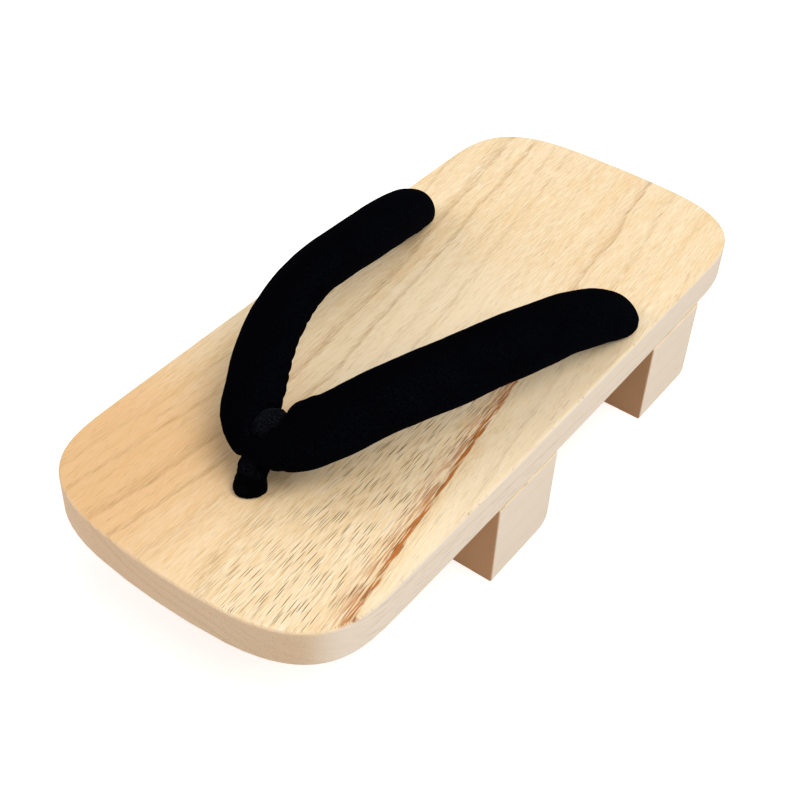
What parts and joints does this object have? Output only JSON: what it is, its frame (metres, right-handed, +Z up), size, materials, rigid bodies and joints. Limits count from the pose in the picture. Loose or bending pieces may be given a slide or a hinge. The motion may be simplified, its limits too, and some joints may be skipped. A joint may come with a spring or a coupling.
{
  "type": "geta sandal",
  "caption": "Wooden geta sandal: a rounded board on two crosswise teeth, worn with a padded velvet V-shaped thong held by a toe loop.",
  "frame": {"origin": "on the ground, under the middle of the board", "axes": "-Y towards the toe, +X towards the wearer's left, +Z up"},
  "size_m": [0.1138, 0.26, 0.0812],
  "materials": {
    "board_wood": "planed paulownia, bare, fine open grain",
    "tooth_wood": "planed paulownia, bare",
    "strap_velvet": "black velvet over padding",
    "loop_velvet": "black velvet, gathered"
  },
  "bodies": {
    "root": {"board": "board_wood", "front_tooth": "tooth_wood", "rear_tooth": "tooth_wood", "thong_straps": "strap_velvet", "toe_loop": "loop_velvet"}
  },
  "joints": []
}
